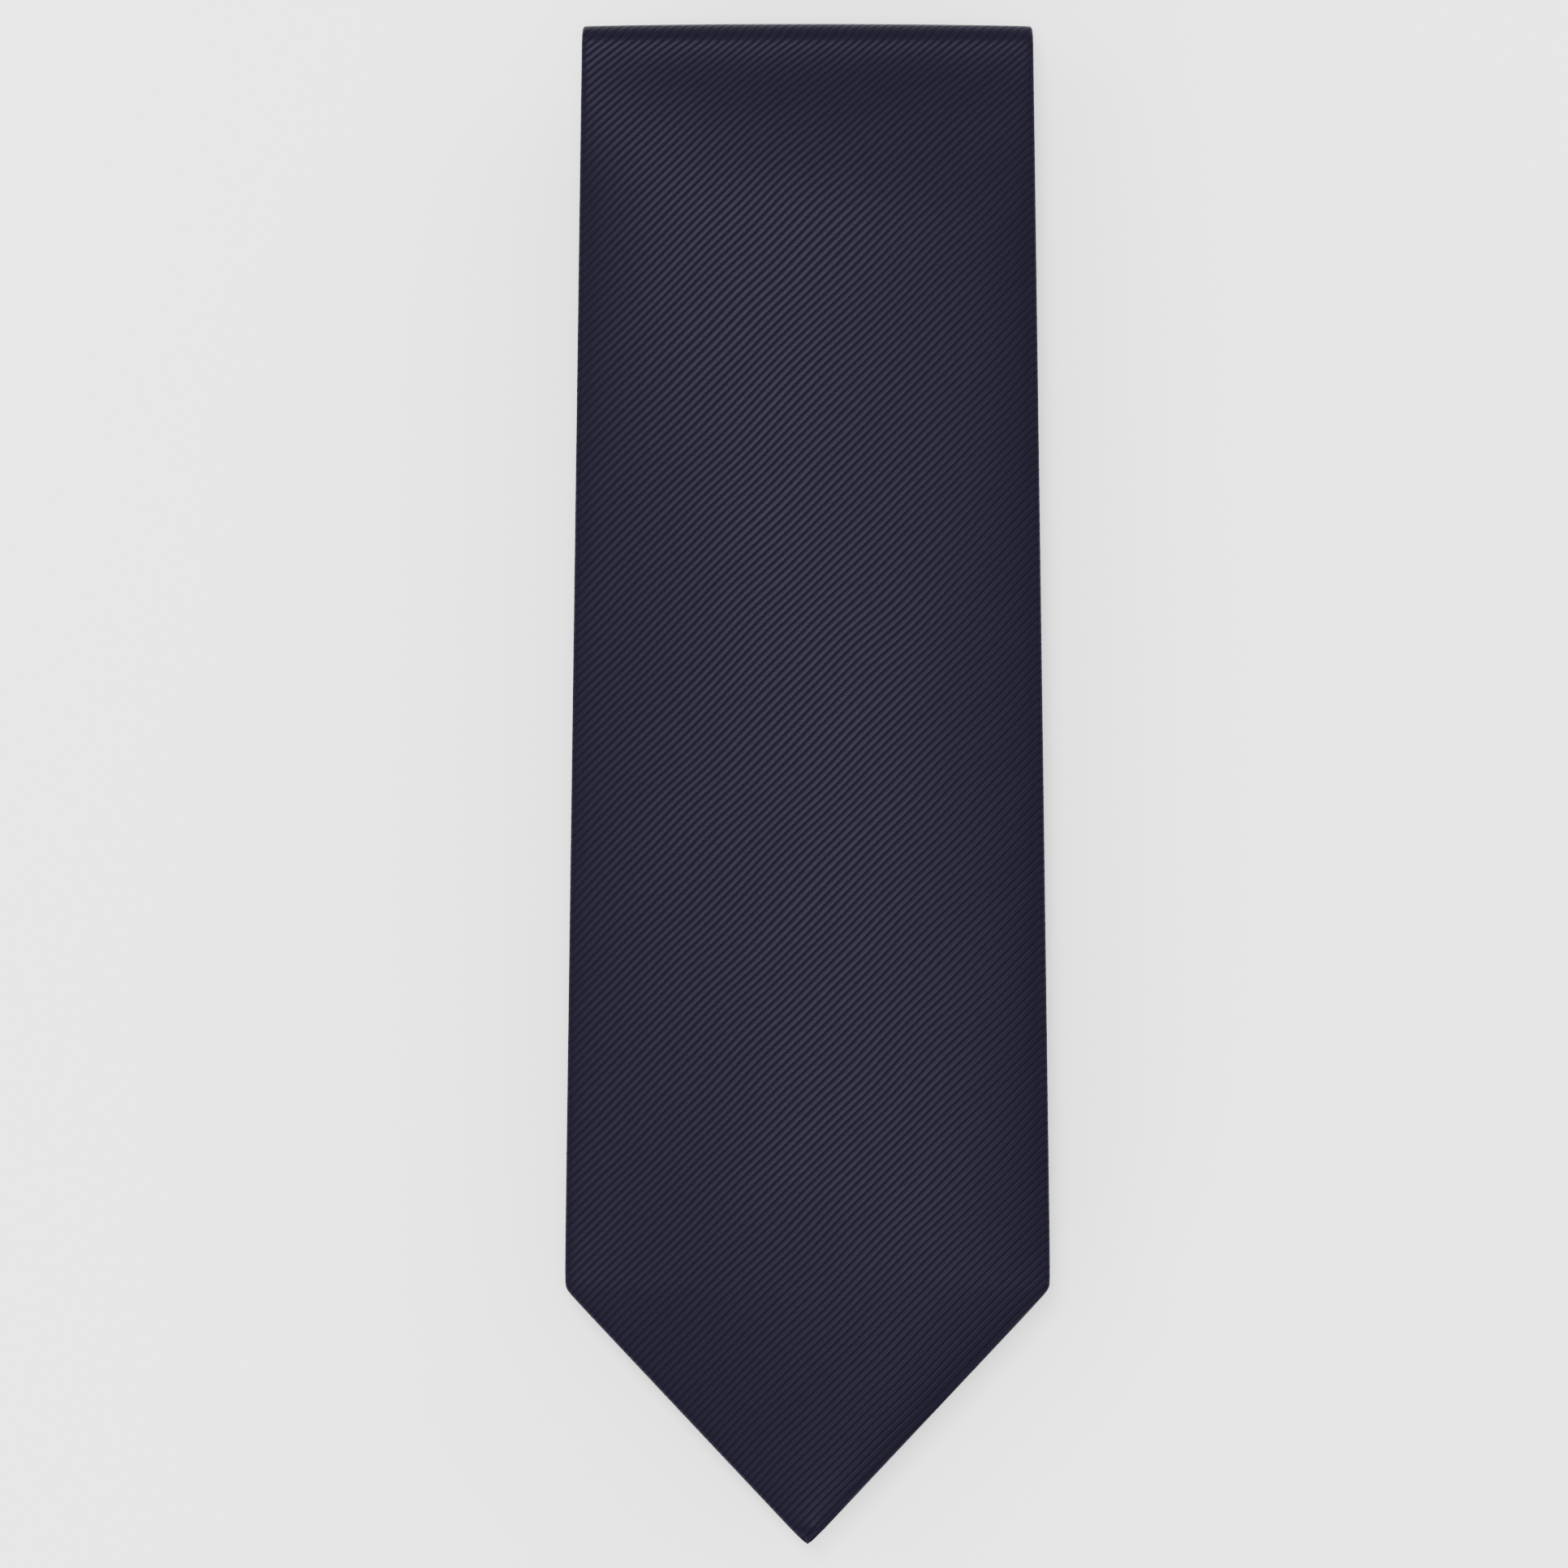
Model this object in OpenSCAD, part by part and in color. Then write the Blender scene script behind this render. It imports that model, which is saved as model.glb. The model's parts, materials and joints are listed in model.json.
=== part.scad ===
// A necktie folded flat: one lined strip turned back on itself five times into six layers.
// The wide blade lies face up on top and the narrow tail lies face down at the bottom.
// X runs across the strip, +Y towards the top fold, +Z up, and Z = 0 is the face it lies on.
// Layers, folds and their bends are numbered from the blade, 1, to the tail.

/* [Strip] */
// Width of the blade at its shoulders
blade_w = 85; // [76:1:92]
// Width at the first fold, the top edge of the blade
fold_1_w = 79; // [64:1:84]
// Width at the second fold
fold_2_w = 60; // [46:1:62]
// Width at the third fold
fold_3_w = 42; // [38:1:60]
// Width at the fourth fold, in the neck
fold_4_w = 35; // [30:1:48]
// Width at the fifth fold
fold_5_w = 38; // [32:1:48]
// Width of the tail at its shoulders
tail_w = 43; // [36:1:46]
// Half-width that a point gains for each unit of height above its tip
point_slope = 0.94; // [0.88:0.01:1.02]

/* [Folds] */
// Length of the folded tie, from the blade's tip to its top fold
pack_l = 266.8; // [250:0.1:300]
// Distance from the blade's tip to the second fold
fold_2_up = 35; // [35:1:60]
// Distance from the blade's tip to the fourth fold
fold_4_up = 27; // [27:1:60]
// Distance from the blade's tip to the tail's tip
tail_tip_up = 3.4; // [3:0.1:30]
// Distance that the third and fifth folds stop short of the top fold
upper_step = 4; // [2:0.5:12]

/* [Layers] */
// Thickness of one layer
layer_t = 2.2; // [2:0.1:3]
// Gap between layers
layer_gap = 0.4; // [0.4:0.1:1]
// Gap under the blade, where its loop and labels lie
loop_gap = 2; // [1.8:0.1:4]
// Thickness of the shell cloth
cloth_t = 0.4; // [0.3:0.05:0.5]
// Clearance around the interlining
inner_clear = 0.1; // [0.05:0.05:0.15]
// Gap that a layer leaves at the fold it turns on
turn_gap = 0.3; // [0.3:0.1:0.6]

/* [Back of the blade] */
// Height of the blade's tipping at its middle, above the tip
blade_tipping_h = 68; // [56:1:80]
// Distance from the blade's tip to the middle of the keeper loop
loop_up = 192; // [170:1:215]
// Length of the keeper loop across the blade
loop_l = 50; // [46:1:58]
// Width of the keeper loop's band
loop_w = 14; // [9:1:18]
// Distance from the blade's tip to the middle of the plain label
label_up = 152; // [135:1:160]
// Plain label, across and along the blade
label_size = [44, 24]; // [16:1:48]
// Distance from the blade's tip to the middle of the care label
care_up = 112; // [102:1:120]
// Care label, across and along the blade
care_size = [20, 30]; // [14:1:34]

/* [Back of the tail] */
// Height of the tail's tipping at its middle, above its tip
tail_tipping_h = 38; // [32:1:50]
// Distance from the tail's tip to the middle of its thread loop
thread_loop_up = 46; // [42:1:60]

/* [Neck seams] */
// Distance from the fourth fold to the middle of the blade-to-neck seam
blade_seam_up = 156; // [60:1:190]
// Distance from the fourth fold to the middle of the neck-to-tail seam
tail_seam_up = 86; // [40:1:190]

/* [Hidden] */
$fn = 64;

layers = 6;
pitch = layer_t + layer_gap;
edge_t = 2 * cloth_t;           // rolled side edge of the shell
pocket_t = layer_t - 2 * cloth_t;
cut = 1;                        // how far a cutting solid runs past what it cuts

navy = [0.16, 0.16, 0.22];
lining_navy = [0.10, 0.10, 0.16];
wool = [0.80, 0.79, 0.74];
thread = [0.14, 0.14, 0.20];
label_black = [0.06, 0.06, 0.08];
care_white = [0.85, 0.85, 0.82];

// Underside of a layer: the tail is at the bottom, and the blade stands on the wider loop gap
function layer_z(i) = (layers - i) * pitch + (i == 1 ? loop_gap - layer_gap : 0);
function layer_mid(i) = layer_z(i) + layer_t / 2;

// Fold k joins layer k to layer k + 1. Its axis is the centre of its bend.
function fold_z(k) = (layer_mid(k) + layer_mid(k + 1)) / 2;
function bend_r(k) = (layer_mid(k) - layer_mid(k + 1)) / 2;
function bend_out(k) = bend_r(k) + layer_t / 2;
tip_y = -pack_l / 2;
tail_tip_y = tip_y + tail_tip_up;
fold_y = [
    pack_l / 2 - bend_out(1),
    tip_y + fold_2_up + bend_out(2),
    pack_l / 2 - upper_step - bend_out(3),
    tip_y + fold_4_up + bend_out(4),
    pack_l / 2 - upper_step - bend_out(5)
];
fold_w = [fold_1_w, fold_2_w, fold_3_w, fold_4_w, fold_5_w];
function is_upper(k) = k % 2 == 1;
function fold_side(k) = is_upper(k) ? 1 : -1;

// Ends of a layer as [y, width]. A layer stops turn_gap short of the fold that it turns on.
function own_end(k) = [fold_y[k - 1], fold_w[k - 1]];
function turning_end(k) = [fold_y[k - 1] - fold_side(k) * turn_gap, fold_w[k - 1]];

// Outlines seen from above. inset draws the sides in, and past runs on over the open ends.
function panel_outline(a, b, inset = 0, past = 0) = let (
    s = sign(b[0] - a[0]),
    ha = a[1] / 2 - inset,
    hb = b[1] / 2 - inset
) [
    [-ha, a[0] - s * past], [ha, a[0] - s * past],
    [hb, b[0] + s * past], [-hb, b[0] + s * past]
];
function pointed_outline(tip, shoulder_w, end, inset = 0, past = 0) = let (
    side = inset * sqrt(1 + point_slope * point_slope) / point_slope,
    h = shoulder_w / 2 - inset,
    e = end[1] / 2 - inset
) [
    [0, tip + side], [h, tip + side + h / point_slope],
    [e, end[0] + past], [-e, end[0] + past],
    [-h, tip + side + h / point_slope]
];
function layer_outline(i, inset = 0, past = 0) =
    i == 1 ? pointed_outline(tip_y, blade_w, turning_end(1), inset, past)
    : i == layers ? pointed_outline(tail_tip_y, tail_w, own_end(5), inset, past)
    : panel_outline(own_end(i - 1), turning_end(i), inset, past);

// Triangle on the back of a point that its tipping fills
function tipping_outline(tip, shoulder_w, height, inset = 0) = let (
    hem = 8 + inset,
    low = tip + hem * sqrt(1 + point_slope * point_slope) / point_slope,
    half = shoulder_w / 2 - hem,
    side = low + half / point_slope
) [[0, low], [half, side], [0, tip + height - inset], [-half, side]];

module slab(outline, bottom, thickness) {
    translate([0, 0, bottom])
        linear_extrude(thickness)
            polygon(outline);
}

// Flattened tube of shell cloth
module tube(i) {
    difference() {
        slab(layer_outline(i), layer_z(i), layer_t);
        slab(layer_outline(i, edge_t, cut), layer_z(i) + cloth_t, pocket_t);
    }
}

// Window in the back of a pointed layer. Its back is its underside on the blade.
module window(outline, z_mid_of_back) {
    slab(outline, z_mid_of_back - cloth_t / 2 - cut / 10, cloth_t + cut / 5);
}

module layer_shell(i) {
    color(navy) tube(i);
}

module blade_shell() {
    color(navy) difference() {
        tube(1);
        window(tipping_outline(tip_y, blade_w, blade_tipping_h), layer_z(1) + cloth_t / 2);
    }
}

module tail_shell() {
    color(navy) difference() {
        tube(layers);
        window(tipping_outline(tail_tip_y, tail_w, tail_tipping_h),
               layer_z(layers) + layer_t - cloth_t / 2);
    }
}

// Half ring across the strip at fold k, between two radii
module half_ring(k, outer, inner, width) {
    translate([0, fold_y[k - 1], fold_z(k)])
        rotate([90, 0, 90])
            linear_extrude(width, center = true)
                intersection() {
                    difference() {
                        circle(outer);
                        circle(inner);
                    }
                    translate([fold_side(k) * outer, 0]) square(2 * outer, center = true);
                }
}

module shell_bend(k) {
    inner = bend_r(k) - layer_t / 2;
    color(navy) difference() {
        half_ring(k, bend_out(k), inner, fold_w[k - 1]);
        half_ring(k, bend_out(k) - cloth_t, inner + cloth_t, fold_w[k - 1] - 2 * edge_t);
    }
}

module interlining_bend(k) {
    half = pocket_t / 2 - inner_clear;
    color(wool) half_ring(k, bend_r(k) + half, bend_r(k) - half,
                          fold_w[k - 1] - 2 * (edge_t + inner_clear));
}

module interlining(i) {
    color(wool) slab(layer_outline(i, edge_t + inner_clear), layer_z(i) + cloth_t + inner_clear,
                     pocket_t - 2 * inner_clear);
}

// Tippings lie in the windows, level with the cloth around them
module blade_tipping() {
    color(lining_navy) slab(tipping_outline(tip_y, blade_w, blade_tipping_h, inner_clear),
                            layer_z(1), cloth_t);
}

module tail_tipping() {
    color(lining_navy) slab(tipping_outline(tail_tip_y, tail_w, tail_tipping_h, inner_clear),
                            layer_z(layers) + layer_t - cloth_t, cloth_t);
}

// The centre back seam's thread lies in the clearance beside each interlining, on the back side
stitch_l = 7;
stitch_step = 12;
stitch_t = inner_clear * 0.8;
stitch_w = 0.4;
stitch_end = 24;
function backs_up(i) = i % 2 == 0;
function stitch_z(i) = backs_up(i) ? layer_z(i) + layer_t - cloth_t - stitch_t
                                   : layer_z(i) + cloth_t;
function stitch_start(i) = i == 1 ? tip_y + blade_tipping_h
                         : i == layers ? tail_tip_y + tail_tipping_h + stitch_end
                         : fold_y[is_upper(i) ? i - 2 : i - 1] + stitch_step;
function stitch_stop(i) = (i == layers ? fold_y[4] : fold_y[is_upper(i) ? i - 1 : i - 2])
                          - stitch_step;
module slip_stitch(i) {
    color(thread)
        for (y = [stitch_start(i) : stitch_step : stitch_stop(i)])
            translate([-stitch_w / 2, y, stitch_z(i)]) cube([stitch_w, stitch_l, stitch_t]);
}

// Keeper loop: a band across the back of the blade, sewn down at both ends
loop_foot = 5;
loop_t = 0.8;
loop_lift = 0.6;
blade_back = layer_z(1);
loop_y = tip_y + loop_up;
module keeper_loop() {
    color(navy) difference() {
        translate([-loop_l / 2, loop_y - loop_w / 2, blade_back - loop_lift - loop_t])
            cube([loop_l, loop_w, loop_lift + loop_t]);
        translate([-loop_l / 2 + loop_foot, loop_y - loop_w / 2 - cut, blade_back - loop_lift])
            cube([loop_l - 2 * loop_foot, loop_w + 2 * cut, loop_lift + cut]);
    }
}

tack_t = 0.2;
tack_w = 0.8;
module tack(x, y, l, top) {
    translate([x - tack_w / 2, y - l / 2, top - tack_t]) cube([tack_w, l, tack_t]);
}

module keeper_loop_tacks() {
    color(thread)
        for (side = [-1, 1])
            tack(side * (loop_l - loop_foot) / 2, loop_y, loop_w * 0.7,
                 blade_back - loop_lift - loop_t);
}

label_t = 0.3;
module patch(size, up) {
    translate([-size[0] / 2, tip_y + up - size[1] / 2, blade_back - label_t])
        cube([size[0], size[1], label_t]);
}

module plain_label() {
    color(label_black) patch(label_size, label_up);
}

module care_label() {
    color(care_white) patch(care_size, care_up);
}

// Rows of stitches that hold the two short sides of the plain label and the care label's top
module label_stitches() {
    inset = 1.2;
    color(thread) {
        for (side = [-1, 1])
            tack(side * (label_size[0] / 2 - inset), tip_y + label_up, label_size[1] * 0.8,
                 blade_back - label_t);
        translate([0, tip_y + care_up + care_size[1] / 2 - inset, 0])
            rotate(90) tack(0, 0, care_size[0] * 0.8, blade_back - label_t);
    }
}

// Bar tacks close the centre back seam at the top of each tipping
bar_l = 7;
module bar_tack(y, bottom) {
    color(thread) translate([-bar_l / 2, y, bottom]) cube([bar_l, 1, tack_t]);
}

module blade_bar_tack() {
    bar_tack(tip_y + blade_tipping_h + 1.5, blade_back - tack_t);
}

tail_back = layer_z(layers) + layer_t;
module tail_bar_tack() {
    bar_tack(tail_tip_y + tail_tipping_h + 1.5, tail_back);
}

// Spare thread of the slip stitch, left as a flat loop on the back of the tail
module tail_thread_loop() {
    loop_r = 2.2;
    color(thread)
        translate([0, tail_tip_y + thread_loop_up, tail_back])
            linear_extrude(tack_t)
                difference() {
                    circle(loop_r);
                    circle(loop_r - 0.5);
                }
}

// Bias seams that join the blade, neck and tail pieces of the shell, pressed flat on the inside
seam_w = 12;                    // both allowances, pressed open
module piecing_seam(i, up, width) {
    seam_t = inner_clear * 0.8;
    inside_face = backs_up(i) ? layer_z(i) + cloth_t : layer_z(i) + layer_t - cloth_t - seam_t;
    half = width / 2 - edge_t - 1;
    y = fold_y[3] + up;
    color(navy) slab([[-half, y - half - seam_w / 2], [half, y + half - seam_w / 2],
                      [half, y + half + seam_w / 2], [-half, y - half + seam_w / 2]],
                     inside_face, seam_t);
}

blade_shell();
layer_shell(2);  // shell_panel_2
layer_shell(3);  // shell_panel_3
layer_shell(4);  // shell_panel_4
layer_shell(5);  // shell_panel_5
tail_shell();
shell_bend(1);  // shell_bend_1
shell_bend(2);  // shell_bend_2
shell_bend(3);  // shell_bend_3
shell_bend(4);  // shell_bend_4
shell_bend(5);  // shell_bend_5
interlining(1);  // interlining_1
interlining(2);  // interlining_2
interlining(3);  // interlining_3
interlining(4);  // interlining_4
interlining(5);  // interlining_5
interlining(6);  // interlining_6
interlining_bend(1);  // interlining_bend_1
interlining_bend(2);  // interlining_bend_2
interlining_bend(3);  // interlining_bend_3
interlining_bend(4);  // interlining_bend_4
interlining_bend(5);  // interlining_bend_5
slip_stitch(1);  // slip_stitch_1
slip_stitch(2);  // slip_stitch_2
slip_stitch(3);  // slip_stitch_3
slip_stitch(4);  // slip_stitch_4
slip_stitch(5);  // slip_stitch_5
slip_stitch(6);  // slip_stitch_6
blade_tipping();
tail_tipping();
keeper_loop();
keeper_loop_tacks();
plain_label();
care_label();
label_stitches();
blade_bar_tack();
tail_bar_tack();
tail_thread_loop();
piecing_seam(4, blade_seam_up, fold_4_w);  // blade_piecing_seam
piecing_seam(5, tail_seam_up, fold_4_w);  // tail_piecing_seam
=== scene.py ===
"""Looks of the folded necktie. The cloth is a long strip, and places along it are in metres from the blade's
tip. Each piece of it is swept along the folded strip from a cross-section of the real, wrapped cloth."""

import json
import math
import random

import bmesh
import bpy
import numpy as np
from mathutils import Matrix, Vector


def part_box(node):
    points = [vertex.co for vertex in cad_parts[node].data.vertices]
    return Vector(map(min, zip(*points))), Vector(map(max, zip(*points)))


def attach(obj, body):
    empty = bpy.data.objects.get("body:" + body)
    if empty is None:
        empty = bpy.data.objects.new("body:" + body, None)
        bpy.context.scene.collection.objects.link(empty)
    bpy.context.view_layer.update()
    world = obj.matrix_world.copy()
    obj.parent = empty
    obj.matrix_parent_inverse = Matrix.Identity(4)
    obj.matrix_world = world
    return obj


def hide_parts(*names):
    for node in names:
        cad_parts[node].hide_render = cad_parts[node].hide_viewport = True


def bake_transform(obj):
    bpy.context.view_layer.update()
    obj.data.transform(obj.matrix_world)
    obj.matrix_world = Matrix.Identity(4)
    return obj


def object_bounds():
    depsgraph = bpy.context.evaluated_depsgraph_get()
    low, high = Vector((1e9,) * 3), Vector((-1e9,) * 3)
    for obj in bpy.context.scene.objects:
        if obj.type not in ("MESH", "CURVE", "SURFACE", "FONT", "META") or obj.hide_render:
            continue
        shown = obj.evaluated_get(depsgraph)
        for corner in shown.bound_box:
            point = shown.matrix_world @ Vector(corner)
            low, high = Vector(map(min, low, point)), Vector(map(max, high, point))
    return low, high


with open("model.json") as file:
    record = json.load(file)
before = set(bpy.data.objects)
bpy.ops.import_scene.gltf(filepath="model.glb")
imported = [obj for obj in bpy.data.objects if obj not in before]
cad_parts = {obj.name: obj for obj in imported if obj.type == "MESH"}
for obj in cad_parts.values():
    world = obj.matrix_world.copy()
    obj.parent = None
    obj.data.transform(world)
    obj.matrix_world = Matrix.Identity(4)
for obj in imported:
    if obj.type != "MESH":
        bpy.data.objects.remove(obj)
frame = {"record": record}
CAD_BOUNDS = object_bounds()
MM = 0.001
RANDOM = random.Random(7)


# ---------------------------------------------------------------- the strip, as the frame has it

SHELLS = ["blade_shell", "shell_panel_2", "shell_panel_3", "shell_panel_4", "shell_panel_5", "tail_shell"]
BODIES = ["blade", "layer_2", "layer_3", "layer_4", "layer_5", "tail"]
LAYERS = len(BODIES)
FOLDS = LAYERS - 1
JOINTS = {j["name"]: j for j in frame["record"]["behaviour"]["joints"]}
BOX = [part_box(name) for name in SHELLS]
LAYER_Z = [(low[2] + high[2]) / 2 for low, high in BOX]
LAYER_T = BOX[1][1][2] - BOX[1][0][2]
FOLD_Y = [JOINTS[f"fold_{k}"]["pos_m"][1] for k in range(1, LAYERS)]
FOLD_R = [(LAYER_Z[k] - LAYER_Z[k + 1]) / 2 for k in range(FOLDS)]
FOLD_W = []
for k in range(1, LAYERS):
    low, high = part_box(f"shell_bend_{k}")
    FOLD_W.append(high[0] - low[0])
BLADE_W = BOX[0][1][0] - BOX[0][0][0]
TAIL_W = BOX[-1][1][0] - BOX[-1][0][0]
TIP_Y = BOX[0][0][1]
TAIL_TIP_Y = BOX[-1][0][1]
TOP_Y = CAD_BOUNDS[1][1]         # the top fold's outermost line

ENDS = [TIP_Y, *FOLD_Y, TAIL_TIP_Y]
LAYER_L = [abs(ENDS[k + 1] - ENDS[k]) for k in range(LAYERS)]
LAYER_S = [0.0]                  # where each layer starts along the strip
for k in range(FOLDS):
    LAYER_S.append(LAYER_S[k] + LAYER_L[k] + math.pi * FOLD_R[k])
STRIP_L = LAYER_S[-1] + LAYER_L[-1]
FOLD_S = [LAYER_S[k] + LAYER_L[k] for k in range(FOLDS)]        # where each fold starts along it

SLOPE = 0.94                     # half-width that a point gains for each unit of height
TIP_BLUNT = 0.36 * MM            # the points are blunted over this length
SHOULDER_ROUND = 0.7 * MM        # the corners above them are rounded over this length
TOP_NOSE = 1.08                  # the top fold is a little drawn out past a half circle
TIP_DROOP = 0.6 * MM             # how far the blade's point hangs
TIP_DROOP_REACH = 55 * MM        # and the length that it hangs over
TOP_DROOP = 0.7 * MM             # the same beside the top fold
TOP_DROOP_REACH = 22 * MM
CLOTH_T = 0.35 * MM
HALF_T = LAYER_T / 2 - CLOTH_T / 2 - 0.05 * MM
BACK_SINK = 0.2 * MM             # the back flaps lie this much closer in, to leave room where they overlap
FLAP_RISE = 0.42 * MM            # the overlapping flap stands this far off the one under it
EDGE_R = 0.9 * MM                # how far the rolled side edge bulges
TOP_EDGE_R = 0.4 * MM            # the same at the top fold, where it is pressed flatter
PRESSED_REACH = 8 * MM           # the edge flattens over this length before the top fold

STATIONS_S = [BLADE_W / 2 / SLOPE, *FOLD_S, STRIP_L - TAIL_W / 2 / SLOPE]
STATIONS_W = [BLADE_W, *FOLD_W, TAIL_W]


def smooth(x, low, high):
    """0 up to low, 1 from high on, and an even S-curve between them."""
    t = np.clip((np.asarray(x, float) - low) / (high - low), 0, 1)
    return t * t * (3 - 2 * t)


def layer_at(s):
    """Layer that a place on the strip is on, from 0, and how far past the layer's flat end it is."""
    k = 0
    while k < FOLDS and s > LAYER_S[k + 1] - 1e-9:
        k += 1
    return k, s - LAYER_S[k] - LAYER_L[k]


def half_width(s):
    """Half-width of the strip, with rounded shoulders and tips."""
    side = float(np.interp(s, STATIONS_S, STATIONS_W)) / 2
    for tip_distance in (s, STRIP_L - s):
        point = SLOPE * tip_distance + TIP_BLUNT * (1 - math.exp(-tip_distance / TIP_BLUNT))
        gap = side - point
        side = side - 0.5 * (gap + math.sqrt(gap * gap + SHOULDER_ROUND ** 2))
    return max(side, 0.15 * MM)


def droop(y):
    """How far the blade hangs below its flat height, at its point and where it nears the top fold."""
    at_tip = TIP_DROOP * smooth(-y, -TIP_Y - TIP_DROOP_REACH, -TIP_Y) ** 1.5
    at_top = TOP_DROOP * float(smooth(y, TOP_Y - TOP_DROOP_REACH, FOLD_Y[0])) ** 1.8
    return float(at_tip) + at_top


TOP_FOLD_DROOP = droop(FOLD_Y[0])


def facing(k):
    """1 where a layer's face is up, as the blade's is, and -1 where it is down."""
    return 1 if k % 2 == 0 else -1


def fold_top(k):
    """Height at which the upper layer goes into fold k."""
    return LAYER_Z[k] - (TOP_FOLD_DROOP if k == 0 else 0.0)


def place(s):
    """Middle of the strip in the Y-Z plane at s, and its face normal there."""
    k, past = layer_at(s)
    face = facing(k)
    if past <= 0:
        y = ENDS[k] + face * (s - LAYER_S[k])
        drop = droop(y) if k == 0 else 0.0
        return y, LAYER_Z[k] - drop, 0.0, float(face)
    top = fold_top(k)
    radius = (top - LAYER_Z[k + 1]) / 2
    turn = past / (math.pi * FOLD_R[k])
    phi = math.pi * (0.5 - turn)
    out_y, out_z = face * math.cos(phi), math.sin(phi)
    y = FOLD_Y[k] + radius * (TOP_NOSE if k == 0 else 1.0) * out_y
    return y, (top + LAYER_Z[k + 1]) / 2 + radius * out_z, face * out_y, face * out_z


CROWD_MOST = 0.27                # the ribs near the top fold look closer together by this share at most
CROWD_REACH = 11 * MM            # and by a share that falls off over this length
CROWD_STEP = 0.5 * MM


def crowd(s):
    """Extra cloth per unit of height near the top fold, where the ribs crowd together."""
    if s >= LAYER_S[1]:
        return 0.0
    to_fold = max(FOLD_Y[0] - (TIP_Y + s), 0.0) + 2 * MM
    return 1 / (1 - CROWD_MOST * math.exp(-to_fold / CROWD_REACH)) - 1


CROWD_S = np.arange(0, LAYER_S[1] + MM, CROWD_STEP)
CROWD_V = np.concatenate([[0], np.cumsum([crowd(s) * CROWD_STEP for s in CROWD_S[:-1]])])


def cloth_v(s):
    """Place along the cloth that its rib pattern has at s."""
    return s + float(np.interp(s, CROWD_S, CROWD_V))


# ---------------------------------------------------------------- mesh helpers

SHARP_DEGREES = 60


def link(name, verts, faces, cloth=None):
    """New smooth-shaded object. cloth gives each vertex its place on the cloth, for the ribs."""
    mesh = bpy.data.meshes.new(name)
    mesh.from_pydata([tuple(v) for v in verts], [], [tuple(f) for f in faces])
    if cloth is not None:
        layer = mesh.attributes.new("cloth", "FLOAT_VECTOR", "POINT")
        layer.data.foreach_set("vector", np.asarray(cloth, np.float32).ravel())
    mesh.polygons.foreach_set("use_smooth", [True] * len(mesh.polygons))
    mesh.validate()
    mesh.update()
    mesh.set_sharp_from_angle(angle=math.radians(SHARP_DEGREES))
    piece = bpy.data.objects.new(name, mesh)
    bpy.context.scene.collection.objects.link(piece)
    return piece


def finish_piece(piece, material, nodes, body=None):
    """Gives a piece its material and slot, hides the CAD nodes that it stands for, and attaches it to the
    body that it rides.
    """
    piece.data.materials.append(material)
    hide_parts(*nodes)
    if body:
        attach(piece, body)


def sweep(name, rows, section):
    """Closed sheet swept along the strip. section(s) gives the sheet's middle line across the strip as
    x, h and u: across the strip, out along the face normal, and along the cloth. It also gives the
    thickness, which is added here."""
    verts, cloth = [], []
    for s in rows:
        x, h, u, thick = section(s)
        tx, th = np.gradient(x), np.gradient(h)
        long = np.hypot(tx, th) + 1e-12
        nx, nh = -th / long, tx / long
        y, z, ny, nz = place(s)
        v = cloth_v(s)
        for side in (1, -1):
            px, ph = x + side * nx * thick / 2, h + side * nh * thick / 2
            ring = np.column_stack([px, y + ph * ny, z + ph * nz])
            uv = np.column_stack([u, np.full_like(u, v), np.zeros_like(u)])
            verts.append(ring if side == 1 else ring[::-1])
            cloth.append(uv if side == 1 else uv[::-1])
    m = len(verts[0])
    ring = 2 * m
    verts, cloth = np.vstack(verts), np.vstack(cloth)
    faces = []
    for r in range(len(rows) - 1):
        a, b = r * ring, (r + 1) * ring
        for j in range(ring):
            n = (j + 1) % ring
            faces.append((a + j, a + n, b + n, b + j))
    for base, flip in ((0, True), ((len(rows) - 1) * ring, False)):
        for j in range(m - 1):
            quad = (base + j, base + j + 1, base + ring - 2 - j, base + ring - 1 - j)
            faces.append(quad[::-1] if flip else quad)
    return outward(link(name, verts, faces, cloth))


def two_sided(n, m):
    """Faces of a closed thin sheet, from m rows of n points on its upper side, then as many on its lower."""
    size = n * m
    faces = []
    for j in range(m - 1):
        for i in range(n - 1):
            a = j * n + i
            faces.append((a, a + 1, a + n + 1, a + n))
            faces.append((size + a, size + a + n, size + a + n + 1, size + a + 1))
    rim = list(range(n)) + [j * n + n - 1 for j in range(1, m)]
    rim += [(m - 1) * n + i for i in range(n - 2, -1, -1)] + [j * n for j in range(m - 2, 0, -1)]
    for a, b in zip(rim, rim[1:] + rim[:1]):
        faces.append((a, size + a, size + b, b))
    return faces


def outward(piece):
    """Turns a closed mesh's faces outward."""
    bm = bmesh.new()
    bm.from_mesh(piece.data)
    bmesh.ops.recalc_face_normals(bm, faces=bm.faces)
    bm.to_mesh(piece.data)
    bm.free()
    return piece


# ---------------------------------------------------------------- wrapped shell cloth

FLAP_N, ROLL_N, FRONT_N = 12, 8, 45            # points across a flap, a rolled edge and the front
HEM = 8 * MM
HEM_X = HEM * math.sqrt(1 + SLOPE ** 2)        # the hem's width at the point, measured across the strip
BLADE_APEX, TAIL_APEX = 68 * MM, 38 * MM       # where the back flaps meet, from each tip
LEFT_END, RIGHT_END = 5 * MM, -1.2 * MM        # X where each back flap ends, once they overlap
STEP_START, STEP_END = 5.5 * MM, 8 * MM        # the right flap steps down here, past the left flap's end
OVER_REACH = 8 * MM                            # they come to overlap over this length past their apex


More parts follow.
